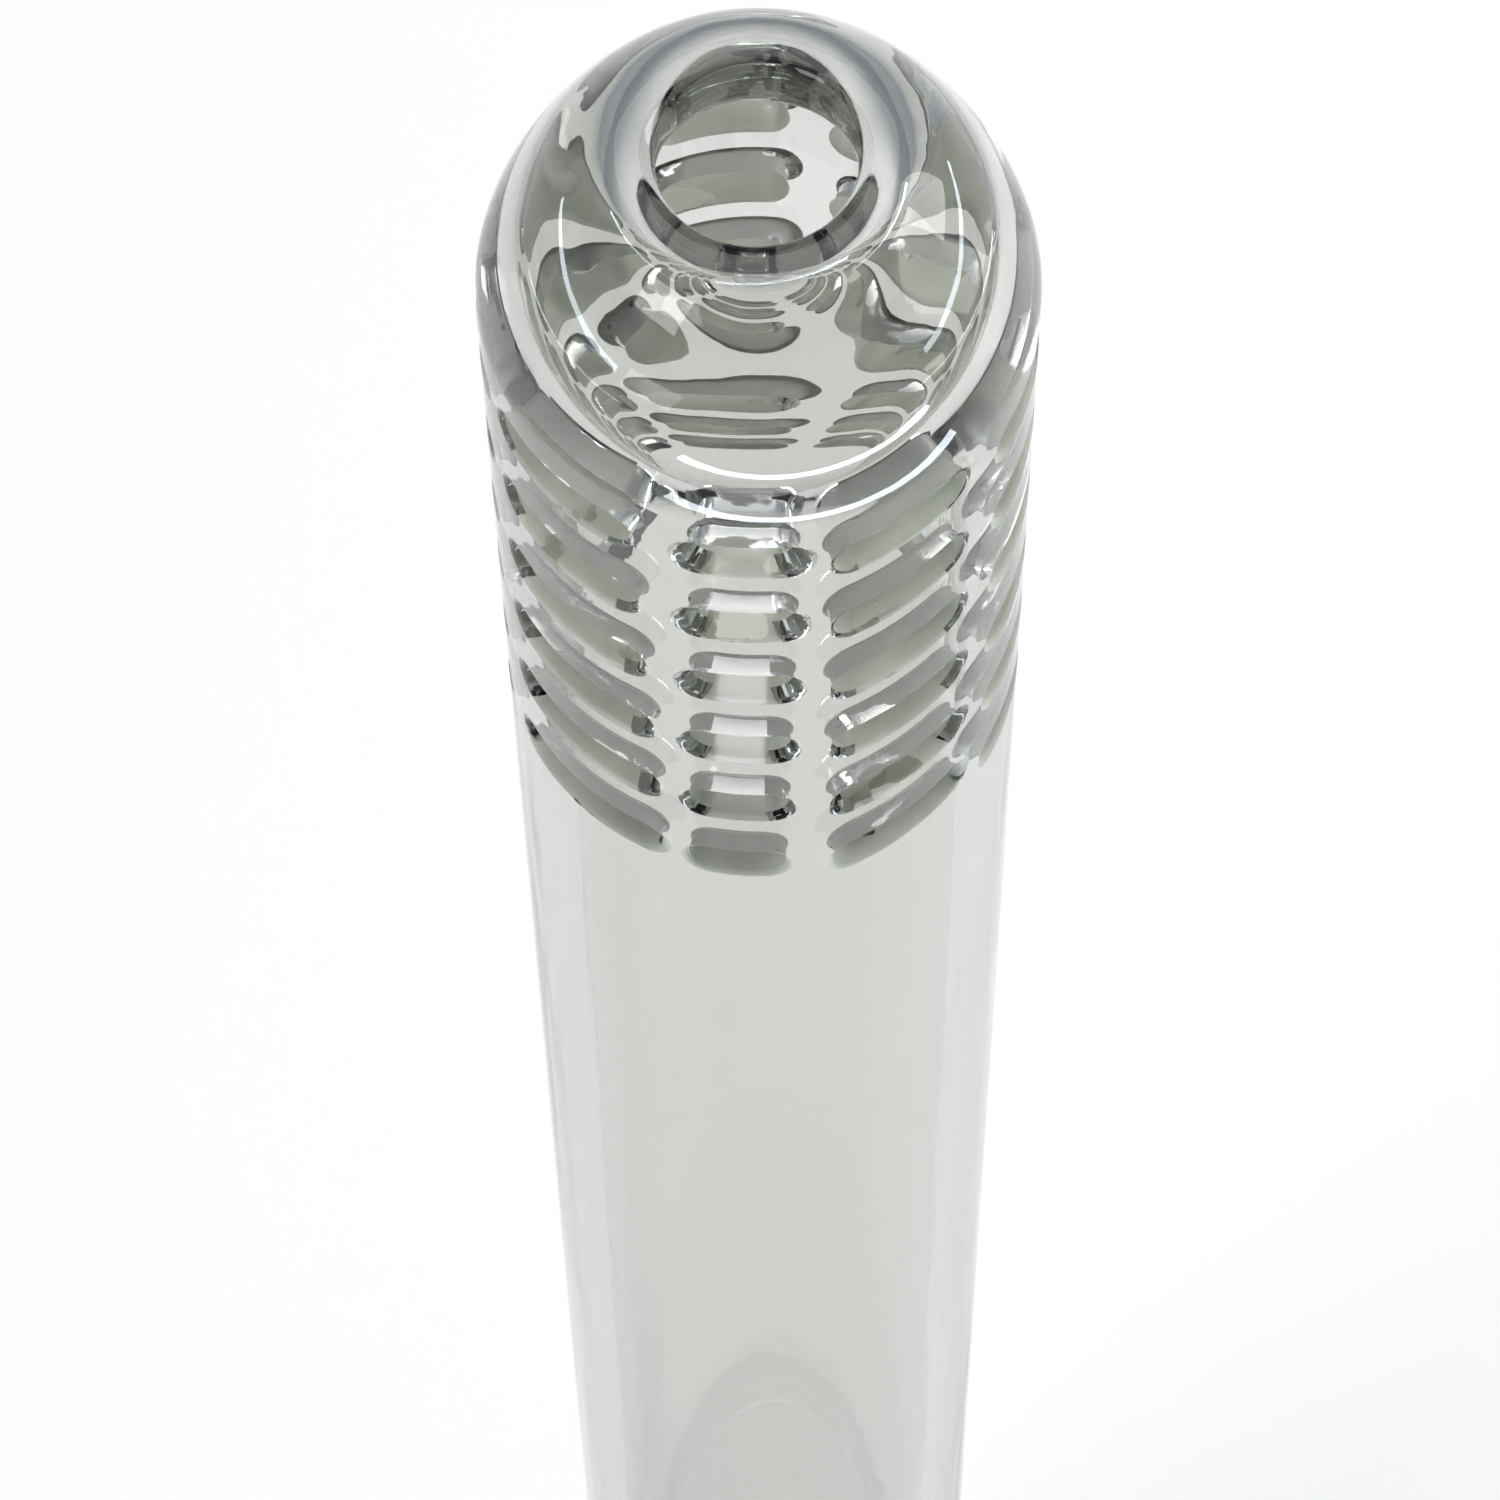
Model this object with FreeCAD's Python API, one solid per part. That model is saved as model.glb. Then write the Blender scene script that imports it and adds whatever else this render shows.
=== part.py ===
import FreeCAD, Part
import math
import os

# Slotted glass diffuser stem: a sawn, fire-polished glass tube, butt-fused to a ground taper joint
# that ends in a heavy collar. It stands on the collar, with the slotted tip up.
# Millimetres. The origin is the centre of the collar's flat underside and +Z is the stem's axis.

# Overall height and the tube's section
total_height = 150.0
tube_radius = 6.35
bore_radius = 4.95

# Nose, as heights above the shoulder, the level that the nose and the slits are measured from: a
# smooth curve that starts just below it, in to the crest of the lip, over it to the mouth, and a
# throat that widens into the bore. Each pull is how far the curve holds its starting direction.
nose_height = 4.4
shoulder_drop = 1.0
crest_radius = 2.8
mouth_radius = 2.2
mouth_rise = 3.8
throat_drop = 1.3
shoulder_pull = 1.5
crest_outer_pull = 1.5
crest_inner_pull = 0.35
mouth_upper_pull = 0.45
mouth_lower_pull = 2.6
throat_pull = 3.3

# Slits: six rows of eight, each with round ends and a post of whole glass between neighbours.
# They are sawn by hand, so each column has its own tilt and lift.
slit_rows = 6
slit_height = 1.2
slit_pitch = 3.0
first_slit_drop = 3.2
post_width_angle = 9.5
post_angles = (210.0, 250.0, 289.0, 338.0, 10.5, 53.0, 109.0, 166.0)
saw_tilts = (2.0, -2.0, -1.0, 0.0, 14.0, 8.0, -2.0, 2.0)
saw_lifts = (0.3, 0.1, 0.1, 0.0, 0.1, 0.1, 0.5, 0.8)

# Ground taper joint, 1 in 10 on the diameter: 18.8 mm outer cone and 14.5 mm inner socket
taper_per_side = 0.05
cone_wide_radius = 9.4
cone_bottom = 10.0
cone_length = 26.0
neck_height = 7.0
neck_pull = 3.0
socket_mouth_radius = 7.25
socket_depth = 23.0
socket_runout = 4.0
joint_foot_radius = 9.6
joint_foot_edge = 0.5

# Collar: a round ring of glass fused round the foot of the joint
collar_radius = 12.5
collar_height = 6.0
collar_foot_round = 1.2
collar_top_round = 2.6

# Derived values
cone_top = cone_bottom + cone_length
cone_narrow_radius = cone_wide_radius - taper_per_side * cone_length
socket_end_radius = socket_mouth_radius - taper_per_side * socket_depth
seam_z = cone_top + neck_height
shoulder_z = total_height - nose_height
cut_reach = tube_radius + 2.0
core_clearance = 1.0
front_angle = -90.0
up = FreeCAD.Vector(0, 0, 1)


def outward(degrees):
    """Level unit vector away from the axis."""
    turn = math.radians(degrees)
    return FreeCAD.Vector(math.cos(turn), math.sin(turn), 0)


def straight_edges(points):
    """Straight edges in the XZ plane through (x, z) points, in order."""
    corners = [FreeCAD.Vector(x, 0, z) for x, z in points]
    return [Part.makeLine(start, end) for start, end in zip(corners, corners[1:])]


def arc(centre, radius, start, end):
    """Arc in the XZ plane round an (x, z) centre, between two angles in degrees."""
    points = []
    for degrees in (start, (start + end) / 2, end):
        turn = math.radians(degrees)
        x = centre[0] + radius * math.cos(turn)
        z = centre[1] + radius * math.sin(turn)
        points.append(FreeCAD.Vector(x, 0, z))
    return Part.Arc(*points).toShape()


def bezier(*points):
    """Smooth curve in the XZ plane from four (x, z) points: two ends and two handles."""
    curve = Part.BezierCurve()
    curve.setPoles([FreeCAD.Vector(x, 0, z) for x, z in points])
    return curve.toShape()


def turned(edges):
    """Solid of revolution about Z of a closed outline in the XZ plane."""
    face = Part.Face(Part.Wire(Part.__sortEdges__(edges)))
    return face.revolve(FreeCAD.Vector(0, 0, 0), up, 360).removeSplitter()


def tube_blank():
    """The tube with its closed-in nose, before it is sawn."""
    curve_z = shoulder_z - shoulder_drop
    mouth_z = shoulder_z + mouth_rise
    throat_z = shoulder_z - throat_drop
    nose = bezier(
        (tube_radius, curve_z),
        (tube_radius, curve_z + shoulder_pull),
        (crest_radius + crest_outer_pull, total_height),
        (crest_radius, total_height),
    )
    lip = bezier(
        (crest_radius, total_height),
        (crest_radius - crest_inner_pull, total_height),
        (mouth_radius, mouth_z + mouth_upper_pull),
        (mouth_radius, mouth_z),
    )
    throat = bezier(
        (mouth_radius, mouth_z),
        (mouth_radius, mouth_z - mouth_lower_pull),
        (bore_radius, throat_z + throat_pull),
        (bore_radius, throat_z),
    )
    walls = straight_edges([
        (bore_radius, throat_z),
        (bore_radius, seam_z),
        (tube_radius, seam_z),
        (tube_radius, curve_z),
    ])
    return turned([nose, lip, throat] + walls)


def slit_cutter(start_angle, end_angle, floor_z, tilt):
    """Cutter for one slit: a flat sector with a round bar at each end, tilted about its middle."""
    half = slit_height / 2
    round_angle = math.degrees(half / tube_radius)
    first = start_angle + round_angle
    last = end_angle - round_angle
    base = FreeCAD.Vector(0, 0, floor_z)
    middle = FreeCAD.Vector(0, 0, floor_z + half)
    sector = Part.makeCylinder(cut_reach, slit_height, base, up, last - first)
    sector.rotate(base, up, first)
    bars = [Part.makeCylinder(half, cut_reach, middle, outward(angle)) for angle in (first, last)]
    core = Part.makeCylinder(bore_radius - core_clearance, slit_height, base)
    cutter = sector.fuse(bars).cut(core)
    cutter.rotate(middle, outward((first + last) / 2), tilt)
    return cutter


def slotted_tube():
    """The tube with every row of slits sawn through its wall."""
    cutters = []
    for row in range(slit_rows):
        row_z = shoulder_z - first_slit_drop - row * slit_pitch
        for column, post in enumerate(post_angles):
            next_post = post_angles[(column + 1) % len(post_angles)]
            span = (next_post - post) % 360 - post_width_angle
            start = front_angle + post + post_width_angle / 2
            floor_z = row_z + saw_lifts[column]
            cutters.append(slit_cutter(start, start + span, floor_z, saw_tilts[column]))
    return tube_blank().cut(cutters)


def ground_joint():
    """The joint: foot, ground outer cone, neck drawn in to the tube's section, and ground socket."""
    neck = bezier(
        (cone_narrow_radius, cone_top),
        (cone_narrow_radius, cone_top + neck_pull),
        (tube_radius, seam_z - neck_pull),
        (tube_radius, seam_z),
    )
    walls = straight_edges([
        (tube_radius, seam_z),
        (bore_radius, seam_z),
        (bore_radius, socket_depth + socket_runout),
        (socket_end_radius, socket_depth),
        (socket_mouth_radius, 0),
        (joint_foot_radius, 0),
        (joint_foot_radius, cone_bottom - joint_foot_edge),
        (cone_wide_radius, cone_bottom),
        (cone_narrow_radius, cone_top),
    ])
    return turned([neck] + walls)


def collar_ring():
    """The collar: a ring with a flat underside and well-rounded edges."""
    foot_edge = collar_radius - collar_foot_round
    top_edge = collar_radius - collar_top_round
    top_centre_z = collar_height - collar_top_round
    inner_side = straight_edges([
        (top_edge, collar_height),
        (joint_foot_radius, collar_height),
        (joint_foot_radius, 0),
        (foot_edge, 0),
    ])
    outer_side = straight_edges([(collar_radius, collar_foot_round), (collar_radius, top_centre_z)])
    foot_round = arc((foot_edge, collar_foot_round), collar_foot_round, -90, 0)
    top_round = arc((top_edge, top_centre_z), collar_top_round, 0, 90)
    return turned(inner_side + [foot_round] + outer_side + [top_round])


def write_parts():
    """Build every piece and write it as STEP."""
    os.makedirs("parts", exist_ok=True)
    pieces = {
        "slotted_tube": slotted_tube(),
        "ground_joint": ground_joint(),
        "collar_ring": collar_ring(),
    }
    for name, shape in pieces.items():
        print(name, "valid", shape.isValid(), "solids", len(shape.Solids), "volume", round(shape.Volume, 1))
        shape.exportStep(os.path.join("parts", name + ".step"))


write_parts()
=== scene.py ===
import math

import bmesh
import bpy
from mathutils import Matrix, Vector


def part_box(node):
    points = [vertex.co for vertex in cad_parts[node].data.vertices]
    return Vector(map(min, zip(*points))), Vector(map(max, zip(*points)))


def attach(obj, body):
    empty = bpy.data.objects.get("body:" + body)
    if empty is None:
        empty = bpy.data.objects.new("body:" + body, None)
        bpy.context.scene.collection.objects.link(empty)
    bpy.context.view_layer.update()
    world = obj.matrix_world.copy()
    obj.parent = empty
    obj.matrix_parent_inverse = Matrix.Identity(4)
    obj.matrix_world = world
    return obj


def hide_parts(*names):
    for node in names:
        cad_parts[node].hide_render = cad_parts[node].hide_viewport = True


# A clear glass diffuser stem on a pale floor. Each CAD node is stood for by one closed glass mesh with
# the same sizes, finer and with what flame and saw leave: rounded edges, ground faces and welds.
# Metres, in the CAD frame. Lengths below are in millimetres times MM.

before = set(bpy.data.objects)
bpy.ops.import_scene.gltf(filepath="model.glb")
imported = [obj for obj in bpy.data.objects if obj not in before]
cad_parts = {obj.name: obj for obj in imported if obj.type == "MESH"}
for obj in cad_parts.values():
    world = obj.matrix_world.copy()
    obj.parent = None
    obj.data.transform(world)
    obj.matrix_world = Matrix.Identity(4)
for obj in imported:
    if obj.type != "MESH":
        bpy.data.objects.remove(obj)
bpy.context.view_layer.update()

MM = 0.001
FULL_TURN = 2 * math.pi

tube_low, tube_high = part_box("slotted_tube")
joint_low, joint_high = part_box("ground_joint")
collar_low, collar_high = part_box("collar_ring")

# Tube: its section, nose and slits
tube_radius = tube_high.x
tube_top = tube_high.z
seam_z = tube_low.z
bore_radius = 4.95 * MM
nose_height = 4.4 * MM
shoulder_drop = 1.0 * MM
crest_radius = 2.8 * MM
mouth_radius = 2.2 * MM
mouth_rise = 3.8 * MM
throat_drop = 1.3 * MM
shoulder_pull = 1.5 * MM
crest_outer_pull = 1.5 * MM
crest_inner_pull = 0.35 * MM
mouth_upper_pull = 0.45 * MM
mouth_lower_pull = 2.6 * MM
throat_pull = 3.3 * MM
slit_rows = 6
slit_height = 1.2 * MM
slit_pitch = 3.0 * MM
first_slit_drop = 3.2 * MM
post_width_angle = 9.5
post_angles = (210.0, 250.0, 289.0, 338.0, 10.5, 53.0, 109.0, 166.0)
saw_tilts = (2.0, -2.0, -1.0, 0.0, 14.0, 8.0, -2.0, 2.0)
saw_lifts = tuple(lift * MM for lift in (0.3, 0.1, 0.1, 0.0, 0.1, 0.1, 0.5, 0.8))
front_angle = -90.0
shoulder_z = tube_top - nose_height
curve_z = shoulder_z - shoulder_drop
mouth_z = shoulder_z + mouth_rise
throat_z = shoulder_z - throat_drop

# What the hand-held saw leaves: wander, smooth faces, rounded edges and chips at the ends
saw_wander = 0.07 * MM
end_wander_angle = 1.1
smooth_column = 3
smooth_roof_rows = (1, 2, 3, 4)
smooth_floor_rows = (2, 3, 4)
shiny_end_columns = (2, 3, 4)
shiny_end_rows = (0, 1, 2, 3, 4)
edge_round = 0.12 * MM
edge_round_end = 80.0
end_chip = 0.3 * MM

# How far a slit's cutter runs past the bore and past the outside
cutter_inset = 1.2 * MM
cutter_reach = 1.5 * MM

# Joint and collar
neck_height = 7.0 * MM
neck_pull = 3.0 * MM
cone_bottom = 10.0 * MM
cone_top = seam_z - neck_height
taper_per_side = 0.05
cone_wide_radius = 9.4 * MM
cone_narrow_radius = cone_wide_radius - taper_per_side * (cone_top - cone_bottom)
socket_mouth_radius = 7.25 * MM
socket_depth = 23.0 * MM
socket_end_radius = socket_mouth_radius - taper_per_side * socket_depth
socket_runout = 4.0 * MM
joint_foot_radius = joint_high.x
joint_foot_edge = 0.5 * MM
foot_top = cone_bottom - joint_foot_edge
collar_radius = collar_high.x
collar_height = collar_high.z
collar_foot_round = 1.2 * MM
collar_top_round = 2.6 * MM

# Mesh fineness
turn_steps = 256
straight_step = 1.5 * MM
curve_steps = 28
end_steps = 10
side_steps = 14
flare_steps = 4
chip_level = flare_steps + 2

# Air between the floor and the flat underside that stands on it
floor_gap = 0.02 * MM

# Glass: index, what it absorbs, how much per metre, and the tints of its faces. The joint and the
# collar are thicker than the drawn tube, and of a clearer glass.
glass_index = 1.47
absorbed_colour = (0.05, 0.08, 0.02)
tube_density = 66.0
joint_density = 12.0
tube_tint = (0.885, 0.88, 0.855)
joint_tint = (0.94, 0.945, 0.935)
sawn_tint = (0.72, 0.73, 0.64)
glazed_tint = (0.88, 0.88, 0.86)
taper_tint = (0.93, 0.94, 0.93)
mottle_share = 0.75

# Painted floor light and studio: the floor is painted as a pool of light round the axis that fades into
# painted shade between the two distances from the axis, and the studio's bands are placed by the upward
# part of the direction
floor_size = 4.0
lit_pool_reach = 0.15
floor_shade_reach = 0.7
lit_pool_colour = (0.9, 0.885, 0.87)
floor_shade_colour = (0.62, 0.63, 0.64)
sky_bands = (
    (0.0, (0.42, 0.45, 0.49)),
    (0.2, (0.26, 0.28, 0.31)),
    (0.36, (0.12, 0.125, 0.13)),
    (0.6, (0.45, 0.5, 0.58)),
    (0.72, (0.14, 0.145, 0.15)),
    (0.85, (0.78, 0.82, 0.86)),
)

# Lights: place from the shoulder, drop of the target under the shoulder, width and height, power,
# colour, and whether it lights only the glass
white = (1, 1, 1)
cool = (0.82, 0.91, 1.0)
lights = {
    "back_softbox": ((0.0, 0.15, 0.5), 0.05, (0.6, 0.6), 2.0, white, False),
    "left_softbox": ((-0.35, -0.3, 0.25), 0.05, (0.2, 0.2), 0.7, white, False),
    "right_softbox": ((0.35, 0.1, 0.15), 0.05, (0.15, 0.3), 0.7, white, False),
    "front_strip": ((0.04, -0.12, -0.12), 0.0, (0.3, 0.02), 0.25, cool, True),
    "left_strip": ((-0.35, -0.03, -0.02), 0.0, (0.4, 0.012), 0.16, cool, True),
    "right_strip": ((0.35, 0.03, -0.04), 0.0, (0.4, 0.012), 0.16, cool, True),
}
light_bounces = 24

# Camera: place from the shoulder, the way it looks, its right, and its lens
camera_place = (-0.369 * MM, -70.64 * MM, 113.69 * MM)
camera_forward = (0.0, 0.45666, -0.88960)
camera_right = (0.99985, -0.015594, -0.0080)
camera_lens = 144.0
camera_near = 5 * MM

# Material slots of a glass mesh
CLEAR, GROUND, SEAM, GLAZED = 0, 1, 2, 3


def straight(start, end, finish):
    """A straight stretch of outline from one (radius, z) point to another, cut into short steps."""
    steps = max(1, math.ceil(math.dist(start, end) / straight_step))
    points = []
    for step in range(steps + 1):
        share = step / steps
        points.append(tuple(a + (b - a) * share for a, b in zip(start, end)))
    return points, finish


def bezier(start, start_handle, end_handle, end, finish=CLEAR):
    """A smooth stretch of outline between two (radius, z) points."""
    points = []
    for step in range(curve_steps + 1):
        t = step / curve_steps
        weights = ((1 - t) ** 3, 3 * (1 - t) ** 2 * t, 3 * (1 - t) * t ** 2, t ** 3)
        corners = (start, start_handle, end_handle, end)
        points.append(tuple(sum(w * c[axis] for w, c in zip(weights, corners)) for axis in (0, 1)))
    return points, finish


def arc(centre, radius, start, end, finish=CLEAR):
    """A round stretch of outline between two angles in degrees."""
    points = []
    for step in range(curve_steps + 1):
        turn = math.radians(start + (end - start) * step / curve_steps)
        points.append((centre[0] + radius * math.cos(turn), centre[1] + radius * math.sin(turn)))
    return points, finish


def lathe(name, stretches):
    """Closed mesh of revolution about Z from stretches that follow each other round the outline."""
    outline = []
    finishes = []
    for points, finish in stretches:
        outline.extend(points[:-1])
        finishes.extend([finish] * (len(points) - 1))
    shape = bmesh.new()
    rings = []
    for radius, z in outline:
        ring = []
        for step in range(turn_steps):
            turn = FULL_TURN * step / turn_steps
            ring.append(shape.verts.new((radius * math.cos(turn), radius * math.sin(turn), z)))
        rings.append(ring)
    for index, ring in enumerate(rings):
        following = rings[(index + 1) % len(rings)]
        for step in range(turn_steps):
            after = (step + 1) % turn_steps
            face = shape.faces.new((ring[step], ring[after], following[after], following[step]))
            face.material_index = finishes[index]
    bmesh.ops.recalc_face_normals(shape, faces=shape.faces)
    mesh = bpy.data.meshes.new(name)
    shape.to_mesh(mesh)
    shape.free()
    piece = bpy.data.objects.new(name, mesh)
    bpy.context.scene.collection.objects.link(piece)
    return piece


def shade(piece, crease=math.radians(30)):
    """Smooth shading, with sharp edges at creases and where the finish changes."""
    shape = bmesh.new()
    shape.from_mesh(piece.data)
    for face in shape.faces:
        face.smooth = True
    for edge in shape.edges:
        if len(edge.link_faces) == 2:
            one, other = edge.link_faces
            bends = one.normal.angle(other.normal, 0) > crease
            edge.smooth = not bends and one.material_index == other.material_index
    shape.to_mesh(piece.data)
    shape.free()


def wander(row, column, phase):
    """A fixed, irregular number from -1 to 1 for one slit: big turns round a sine look random."""
    row_turn, column_turn, phase_turn = 12.9, 78.2, 37.7
    return math.sin(row_turn * row + column_turn * column + phase_turn * phase)


def slit_outline(start_angle, end_angle, floor_z, tilt, grow, chip):
    """Points (angle, z) round one slit: straight sides, round ends, tilted about its middle."""
    half = slit_height / 2 + grow
    middle_angle = (start_angle + end_angle) / 2
    middle_z = floor_z + slit_height / 2
    round_angle = math.degrees(half / tube_radius)
    end_angle_growth = math.degrees((grow + chip) / tube_radius)
    first = start_angle - end_angle_growth + round_angle
    last = end_angle + end_angle_growth - round_angle
    points = []
    for side, centre in ((1, last), (-1, first)):
        for step in range(end_steps + 1):
            turn = math.radians(-90 + 180 * step / end_steps)
            angle = centre + side * round_angle * math.cos(turn)
            points.append((angle, middle_z + side * half * math.sin(turn)))
        other = first if side == 1 else last
        for step in range(1, side_steps):
            angle = centre + (other - centre) * step / side_steps
            points.append((angle, middle_z + side * half))
    slope = math.tan(math.radians(tilt)) * tube_radius
    return [(angle, z + slope * math.sin(math.radians(angle - middle_angle))) for angle, z in points]


def slit_levels(chip):
    """(radius, growth, end chip) of a slit's cutter from the bore to outside, flared at both edges."""
    levels = [(bore_radius - cutter_inset, edge_round, 0.0)]
    for step in range(flare_steps + 1):
        turn = math.radians(edge_round_end * (1 - step / flare_steps))
        radius = bore_radius + edge_round * (1 - math.sin(turn))
        levels.append((radius, edge_round * (1 - math.cos(turn)), 0.0))
    levels.append((tube_radius - 2 * chip, 0.0, 0.0))
    for step in range(flare_steps + 1):
        turn = math.radians(edge_round_end * step / flare_steps)
        radius = tube_radius - edge_round * (1 - math.sin(turn))
        levels.append((radius, edge_round * (1 - math.cos(turn)), chip * (1 + step / flare_steps) / 2))
    levels.append((tube_radius + cutter_reach, levels[-1][1], chip))
    return levels


def slit_finish(level, step, smooth_roof, smooth_floor, shiny_ends):
    """The finish of one face of a slit's cutter: its roof and floor are glazed or ground, and the chips
    at its ends are clear or ground."""
    roof_from = end_steps
    far_end_from = roof_from + side_steps
    floor_from = far_end_from + end_steps
    if step >= floor_from:
        return GLAZED if smooth_floor else GROUND
    if roof_from <= step < far_end_from:
        return GLAZED if smooth_roof else GROUND
    return CLEAR if shiny_ends and level >= chip_level else GROUND


def add_slit(shape, start_angle, end_angle, floor_z, tilt, chip, smooth_parts):
    """Add one slit's closed cutter to a bmesh. Its smooth parts are three truths: roof, floor, ends."""
    rings = []
    for radius, grow, end_growth in slit_levels(chip):
        ring = []
        for angle, z in slit_outline(start_angle, end_angle, floor_z, tilt, grow, end_growth):
            turn = math.radians(angle)
            ring.append(shape.verts.new((radius * math.cos(turn), radius * math.sin(turn), z)))
        rings.append(ring)
    count = len(rings[0])
    for level, (inner, outer) in enumerate(zip(rings, rings[1:])):
        for step in range(count):
            after = (step + 1) % count
            face = shape.faces.new((inner[step], inner[after], outer[after], outer[step]))
            face.material_index = slit_finish(level, step, *smooth_parts)
    caps = [shape.faces.new(rings[0]), shape.faces.new(rings[-1])]
    bmesh.ops.triangulate(shape, faces=caps)


def slit_cutters():
    """One mesh with the cutters of every slit."""
    shape = bmesh.new()
    for row in range(slit_rows):
        row_z = shoulder_z - first_slit_drop - row * slit_pitch
        for column, post in enumerate(post_angles):
            next_post = post_angles[(column + 1) % len(post_angles)]
            span = (next_post - post) % 360 - post_width_angle
            start = front_angle + post + post_width_angle / 2 + end_wander_angle * wander(row, column, 1)
            end = start + span + end_wander_angle * wander(row, column, 2)
            floor_z = row_z + saw_lifts[column] + saw_wander * wander(row, column, 3)
            chip = end_chip * (1 + wander(row, column, 4)) / 2
            smooth_parts = (
                column == smooth_column and row in smooth_roof_rows,
                column == smooth_column and row in smooth_floor_rows,
                column in shiny_end_columns and row in shiny_end_rows,
            )
            add_slit(shape, start, end, floor_z, saw_tilts[column], chip, smooth_parts)
    bmesh.ops.recalc_face_normals(shape, faces=shape.faces)
    mesh = bpy.data.meshes.new("slit_cutters")
    shape.to_mesh(mesh)
    shape.free()
    cutters = bpy.data.objects.new("slit_cutters", mesh)
    bpy.context.scene.collection.objects.link(cutters)
    return cutters


def cut(piece, cutters):
    """Cut one mesh with another, for good, and remove the cutter."""
    for material in piece.data.materials:
        cutters.data.materials.append(material)
    modifier = piece.modifiers.new("cut", "BOOLEAN")
    modifier.object = cutters
    modifier.solver = "EXACT"
    graph = bpy.context.evaluated_depsgraph_get()
    mesh = bpy.data.meshes.new_from_object(piece.evaluated_get(graph))
    piece.modifiers.clear()
    piece.data = mesh
    bpy.data.objects.remove(cutters)


def slotted_tube_glass(materials):
    """The sawn tube with its fire-polished nose."""
    tube = lathe("slotted_tube_glass", [
        straight((tube_radius, seam_z), (tube_radius, curve_z), CLEAR),
        bezier(
            (tube_radius, curve_z),
            (tube_radius, curve_z + shoulder_pull),
            (crest_radius + crest_outer_pull, tube_top),
            (crest_radius, tube_top),
        ),
        bezier(
            (crest_radius, tube_top),
            (crest_radius - crest_inner_pull, tube_top),
            (mouth_radius, mouth_z + mouth_upper_pull),
            (mouth_radius, mouth_z),
        ),
        bezier(
            (mouth_radius, mouth_z),
            (mouth_radius, mouth_z - mouth_lower_pull),
            (bore_radius, throat_z + throat_pull),
            (bore_radius, throat_z),
        ),
        straight((bore_radius, throat_z), (bore_radius, seam_z), CLEAR),
        straight((bore_radius, seam_z), (tube_radius, seam_z), SEAM),
    ])
    for material in materials:
        tube.data.materials.append(material)
    cut(tube, slit_cutters())
    shade(tube)
    return tube


def ground_joint_glass(materials):
    """The joint: foot, ground cone and socket, and the neck that is drawn in to the tube."""
    joint = lathe("ground_joint_glass", [
        straight((joint_foot_radius, 0.0), (joint_foot_radius, collar_height), SEAM),
        straight((joint_foot_radius, collar_height), (joint_foot_radius, foot_top), CLEAR),
        straight((joint_foot_radius, foot_top), (cone_wide_radius, cone_bottom), CLEAR),
        straight((cone_wide_radius, cone_bottom), (cone_narrow_radius, cone_top), GROUND),
        bezier(
            (cone_narrow_radius, cone_top),
            (cone_narrow_radius, cone_top + neck_pull),
            (tube_radius, seam_z - neck_pull),
            (tube_radius, seam_z),
        ),
        straight((tube_radius, seam_z), (bore_radius, seam_z), SEAM),
        straight((bore_radius, seam_z), (bore_radius, socket_depth + socket_runout), CLEAR),
        straight((bore_radius, socket_depth + socket_runout), (socket_end_radius, socket_depth), CLEAR),
        straight((socket_end_radius, socket_depth), (socket_mouth_radius, 0.0), GROUND),
        straight((socket_mouth_radius, 0.0), (joint_foot_radius, 0.0), CLEAR),
    ])
    for material in materials:
        joint.data.materials.append(material)
    shade(joint)
    return joint


def collar_ring_glass(materials):
    """The collar with its flat underside and well-rounded edges."""
    foot_edge = collar_radius - collar_foot_round
    top_edge = collar_radius - collar_top_round
    top_centre_z = collar_height - collar_top_round
    collar = lathe("collar_ring_glass", [
        straight((joint_foot_radius, collar_height), (joint_foot_radius, 0.0), SEAM),
        straight((joint_foot_radius, 0.0), (foot_edge, 0.0), GROUND),
        arc((foot_edge, collar_foot_round), collar_foot_round, -90, 0),
        straight((collar_radius, collar_foot_round), (collar_radius, top_centre_z), CLEAR),
        arc((top_edge, top_centre_z), collar_top_round, 0, 90),
        straight((top_edge, collar_height), (joint_foot_radius, collar_height), CLEAR),
    ])
    for material in materials:
        collar.data.materials.append(material)
    shade(collar)
    return collar


def new_material(name):
    """A node material and its Principled shader."""
    material = bpy.data.materials.new(name)
    material.use_nodes = True
    return material, material.node_tree.nodes["Principled BSDF"]


def glass_shader(shader, colour, roughness, transmission):
    """Uniform values of borosilicate glass."""
    shader.inputs["Base Color"].default_value = (*colour, 1)
    shader.inputs["Roughness"].default_value = roughness
    shader.inputs["IOR"].default_value = glass_index
    shader.inputs["Transmission Weight"].default_value = transmission


def object_noise(tree, stretch, scale, detail):
    """Noise fixed to the object, stretched by three factors."""
    nodes = tree.nodes
    place = nodes.new("ShaderNodeTexCoord")
    mapping = nodes.new("ShaderNodeMapping")
    mapping.inputs["Scale"].default_value = stretch
    noise = nodes.new("ShaderNodeTexNoise")
    noise.inputs["Scale"].default_value = scale
    noise.inputs["Detail"].default_value = detail
    tree.links.new(place.outputs["Object"], mapping.inputs["Vector"])
    tree.links.new(mapping.outputs["Vector"], noise.inputs["Vector"])
    return noise.outputs["Fac"]


def bump(tree, height, strength, distance, below=None):
    """Bump from a height, on top of another bump if one is given."""
    node = tree.nodes.new("ShaderNodeBump")
    node.inputs["Strength"].default_value = strength
    node.inputs["Distance"].default_value = distance
    tree.links.new(height, node.inputs["Height"])
    if below is not None:
        tree.links.new(below, node.inputs["Normal"])
    return node.outputs["Normal"]


def ramp(tree, value, low, high, low_colour, high_colour):
    """Blend between two colours as a value goes from low to high."""
    node = tree.nodes.new("ShaderNodeValToRGB")
    first, last = node.color_ramp.elements
    first.position = low
    first.color = (*low_colour, 1)
    last.position = high
    last.color = (*high_colour, 1)
    tree.links.new(value, node.inputs["Fac"])
    return node.outputs["Color"]


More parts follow.
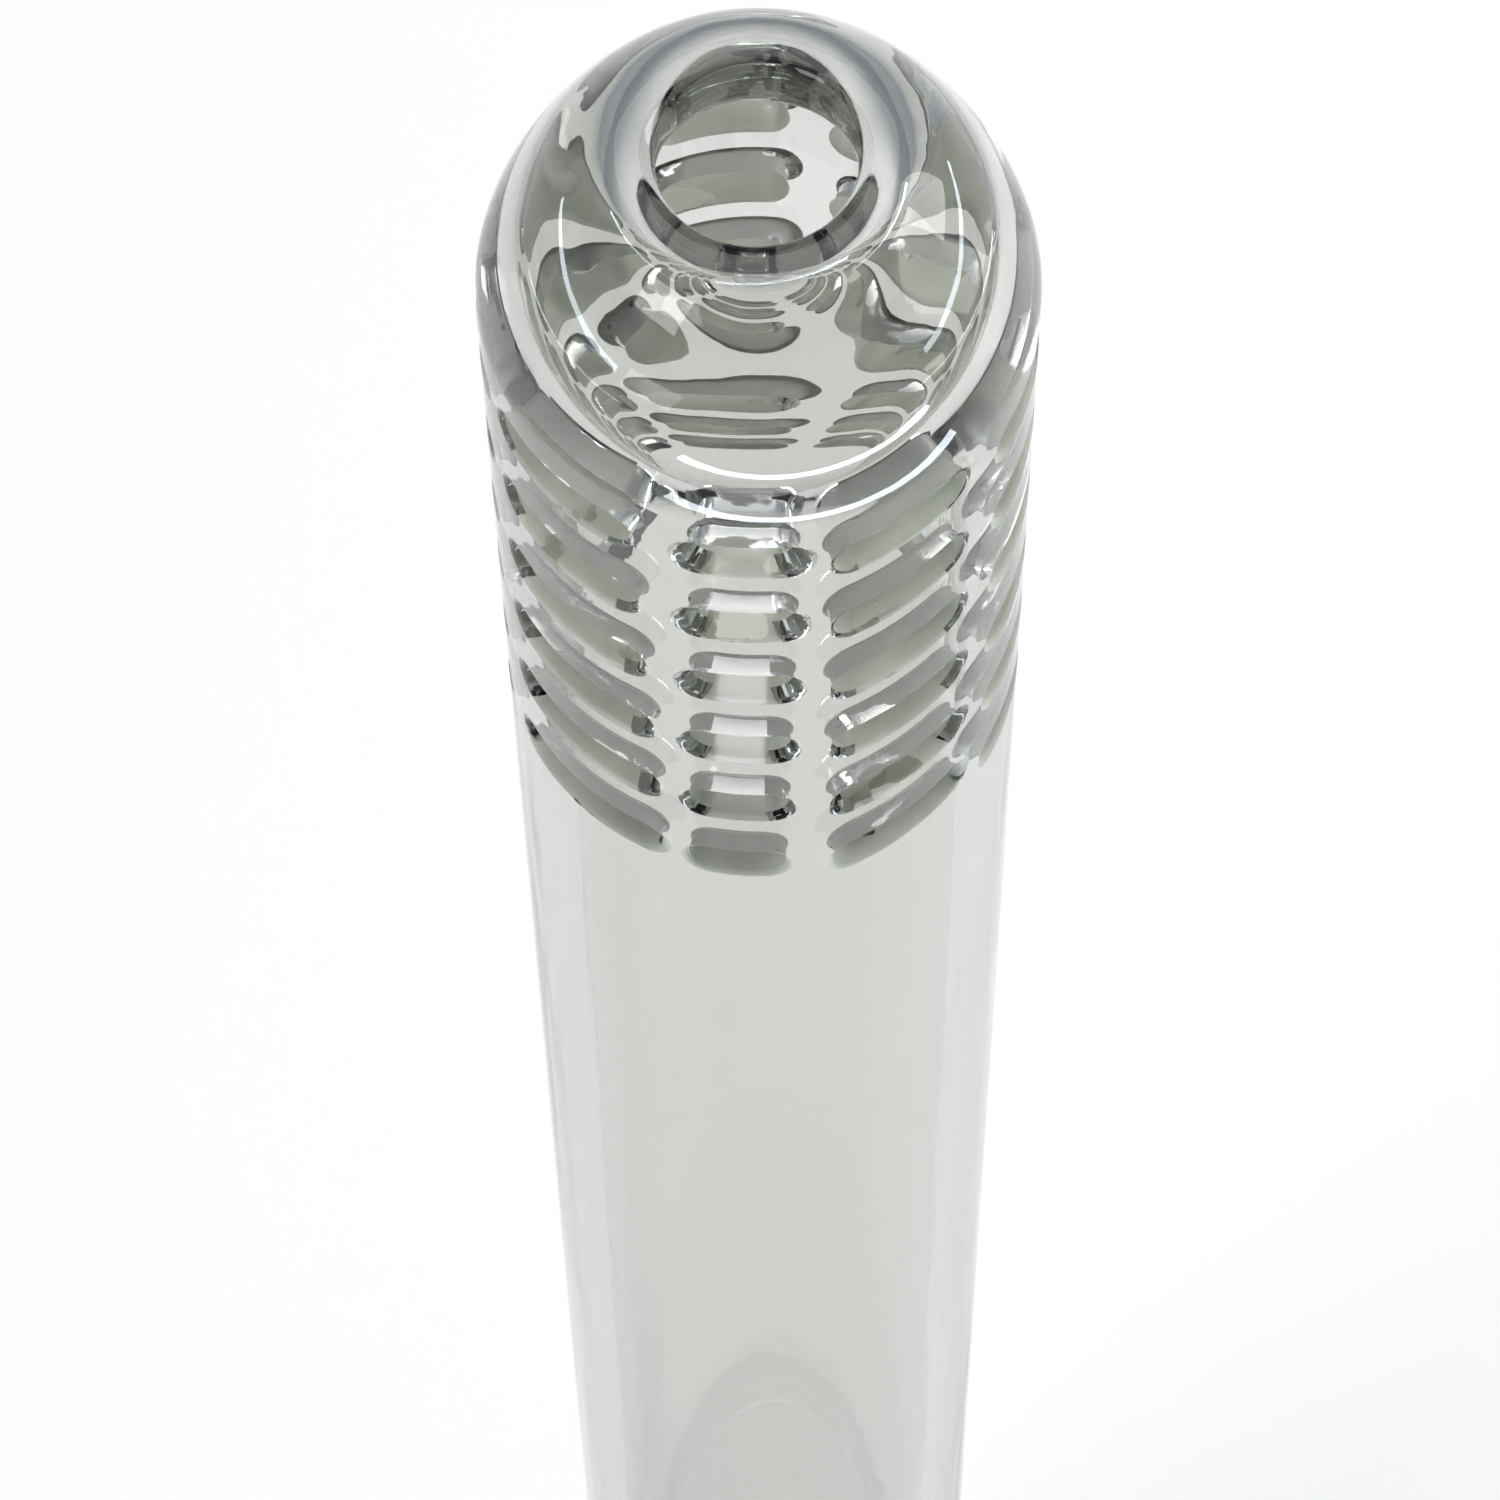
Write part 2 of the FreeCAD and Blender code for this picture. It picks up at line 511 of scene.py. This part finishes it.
def polished_glass(name, colour, density, draw_lines):
    """Clear glass with the faint lengthwise draw lines and slow waves of blown tube."""
    material, shader = new_material(name)
    tree = material.node_tree
    glass_shader(shader, colour, 0.0, 1.0)
    inside = tree.nodes.new("ShaderNodeVolumeAbsorption")
    inside.inputs["Color"].default_value = (*absorbed_colour, 1)
    inside.inputs["Density"].default_value = density
    tree.links.new(inside.outputs["Volume"], tree.nodes["Material Output"].inputs["Volume"])
    line_height = object_noise(tree, stretch=(1, 1, 0.02), scale=900, detail=2)
    lines = bump(tree, line_height, strength=draw_lines, distance=0.02 * MM)
    wave_height = object_noise(tree, stretch=(1, 1, 0.12), scale=240, detail=3)
    waves = bump(tree, wave_height, strength=0.25, distance=0.1 * MM, below=lines)
    tree.links.new(waves, shader.inputs["Normal"])
    return material


def matt_glass(name, colour, roughness, transmission, stretch, grain):
    """Glass left matt by an abrasive: faintly mottled, with grain along the way the abrasive went."""
    material, shader = new_material(name)
    tree = material.node_tree
    glass_shader(shader, colour, roughness, transmission)
    mottle = object_noise(tree, stretch=(1, 1, 1), scale=500, detail=4)
    darker = tuple(part * mottle_share for part in colour)
    mottled = ramp(tree, mottle, low=0.35, high=0.65, low_colour=darker, high_colour=colour)
    tree.links.new(mottled, shader.inputs["Base Color"])
    grit_height = object_noise(tree, stretch, scale=16000, detail=3)
    grit = bump(tree, grit_height, strength=grain, distance=0.01 * MM)
    tree.links.new(grit, shader.inputs["Normal"])
    return material


def sawn_face(name, colour, roughness, transmission, smooth_from):
    """A matt sawn face with glossy patches where noise is high, which the saw broke off clean."""
    material = matt_glass(name, colour, roughness, transmission, stretch=(1, 1, 1), grain=0.4)
    tree = material.node_tree
    shader = tree.nodes["Principled BSDF"]
    patches = object_noise(tree, stretch=(1, 1, 1.6), scale=460, detail=3)
    smooth_to = smooth_from + 0.03
    rough, smooth = (roughness,) * 3, (0.03,) * 3
    veiled, clear = (transmission,) * 3, (1.0,) * 3
    tree.links.new(ramp(tree, patches, smooth_from, smooth_to, rough, smooth), shader.inputs["Roughness"])
    clearness = ramp(tree, patches, smooth_from, smooth_to, veiled, clear)
    tree.links.new(clearness, shader.inputs["Transmission Weight"])
    return material


def glazed_face(name, colour, roughness, grain):
    """A sawn face that flame has half smoothed, so that it still blurs what shows through it."""
    material, shader = new_material(name)
    tree = material.node_tree
    glass_shader(shader, colour, roughness, 1.0)
    swell_height = object_noise(tree, stretch=(1, 1, 1), scale=1500, detail=3)
    swell = bump(tree, swell_height, strength=grain, distance=0.02 * MM)
    tree.links.new(swell, shader.inputs["Normal"])
    return material


def weld_seam():
    """Nothing to see where two pieces are fused: light goes straight through the shared face."""
    material, shader = new_material("weld_seam")
    nodes = material.node_tree.nodes
    clear = nodes.new("ShaderNodeBsdfTransparent")
    material.node_tree.links.new(clear.outputs["BSDF"], nodes["Material Output"].inputs["Surface"])
    nodes.remove(shader)
    return material


def add_floor():
    """A floor painted as a pool of light under the stem that fades into painted shade away from it, so
    that the glass gets dark edges.
    """
    bpy.ops.mesh.primitive_plane_add(size=floor_size, location=(0.0, 0.0, -floor_gap))
    floor = bpy.context.object
    floor.name = "floor"
    material, shader = new_material("floor")
    tree = material.node_tree
    shader.inputs["Roughness"].default_value = 0.9
    place = tree.nodes.new("ShaderNodeTexCoord")
    distance = tree.nodes.new("ShaderNodeVectorMath")
    distance.operation = "LENGTH"
    tree.links.new(place.outputs["Object"], distance.inputs[0])
    # Painted light: pale near the axis as a painted pool of light, darker further out as painted shade
    colour = ramp(tree, distance.outputs["Value"], lit_pool_reach, floor_shade_reach, lit_pool_colour, floor_shade_colour)
    tree.links.new(colour, shader.inputs["Base Color"])
    floor.data.materials.append(material)


def add_world():
    """A dim studio: bands of light and dark by height above the horizon, which the glass bends."""
    world = bpy.data.worlds.new("studio")
    bpy.context.scene.world = world
    world.use_nodes = True
    tree = world.node_tree
    place = tree.nodes.new("ShaderNodeTexCoord")
    split = tree.nodes.new("ShaderNodeSeparateXYZ")
    bands = tree.nodes.new("ShaderNodeValToRGB")
    elements = bands.color_ramp.elements
    elements[0].position = sky_bands[0][0]
    elements[0].color = (*sky_bands[0][1], 1)
    elements[1].position = sky_bands[-1][0]
    elements[1].color = (*sky_bands[-1][1], 1)
    for position, colour in sky_bands[1:-1]:
        elements.new(position).color = (*colour, 1)
    tree.links.new(place.outputs["Generated"], split.inputs["Vector"])
    tree.links.new(split.outputs["Z"], bands.inputs["Fac"])
    tree.links.new(bands.outputs["Color"], tree.nodes["Background"].inputs["Color"])


def add_light(name, place, target, width, height, power, colour, lit_only=None):
    """A soft rectangular light that faces a target, and lights one collection or everything."""
    light = bpy.data.lights.new(name, "AREA")
    light.shape = "RECTANGLE"
    light.size = width
    light.size_y = height
    light.energy = power
    light.color = colour
    lamp = bpy.data.objects.new(name, light)
    bpy.context.scene.collection.objects.link(lamp)
    lamp.location = place
    lamp.rotation_euler = (Vector(target) - Vector(place)).to_track_quat("-Z", "Y").to_euler()
    lamp.light_linking.receiver_collection = lit_only


def add_camera():
    """A long lens that looks down on the tip from the front."""
    camera = bpy.data.cameras.new("camera")
    camera.sensor_width = 36.0
    camera.lens = camera_lens
    camera.clip_start = camera_near
    holder = bpy.data.objects.new("camera", camera)
    bpy.context.scene.collection.objects.link(holder)
    place = Vector((0, 0, shoulder_z)) + Vector(camera_place)
    forward = Vector(camera_forward)
    right = Vector(camera_right)
    right = (right - forward * right.dot(forward)).normalized()
    upward = right.cross(forward)
    turn = Matrix((right, upward, -forward)).transposed()
    holder.matrix_world = Matrix.Translation(place) @ turn.to_4x4()
    bpy.context.scene.camera = holder


def add_glass():
    """The three pieces of glass, each standing for its CAD node. Returns their collection."""
    seam = weld_seam()
    tube_materials = [
        polished_glass("polished_glass", tube_tint, tube_density, draw_lines=0.15),
        sawn_face("ground_face", sawn_tint, roughness=0.5, transmission=0.4, smooth_from=0.57),
        seam,
        glazed_face("glazed_face", glazed_tint, roughness=0.3, grain=0.4),
    ]
    joint_materials = [
        polished_glass("joint_glass", joint_tint, joint_density, draw_lines=0.1),
        matt_glass("ground_taper", taper_tint, 0.42, 0.7, stretch=(1, 1, 6), grain=0.3),
        seam,
    ]
    glass = bpy.data.collections.new("glass")
    for piece, node, slot in (
        (slotted_tube_glass(tube_materials), "slotted_tube", "clear_glass"),
        (ground_joint_glass(joint_materials), "ground_joint", "ground_glass"),
        (collar_ring_glass(joint_materials), "collar_ring", "collar_glass"),
    ):
        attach(piece, "root")
        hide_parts(node)
        glass.objects.link(piece)
    return glass


def add_lights(glass):
    """The softboxes, and the strips that only the glass shows."""
    for name, (place, drop, (width, height), power, colour, glass_only) in lights.items():
        x, y, rise = place
        target = (0, 0, shoulder_z - drop)
        lit_only = glass if glass_only else None
        add_light(name, (x, y, shoulder_z + rise), target, width, height, power, colour, lit_only)


def main():
    """Make the whole scene."""
    glass = add_glass()
    add_floor()
    add_world()
    add_lights(glass)
    add_camera()
    bpy.context.scene.view_settings.view_transform = "Standard"
    bpy.context.scene.cycles.max_bounces = light_bounces
    bpy.context.scene.cycles.transmission_bounces = light_bounces


main()
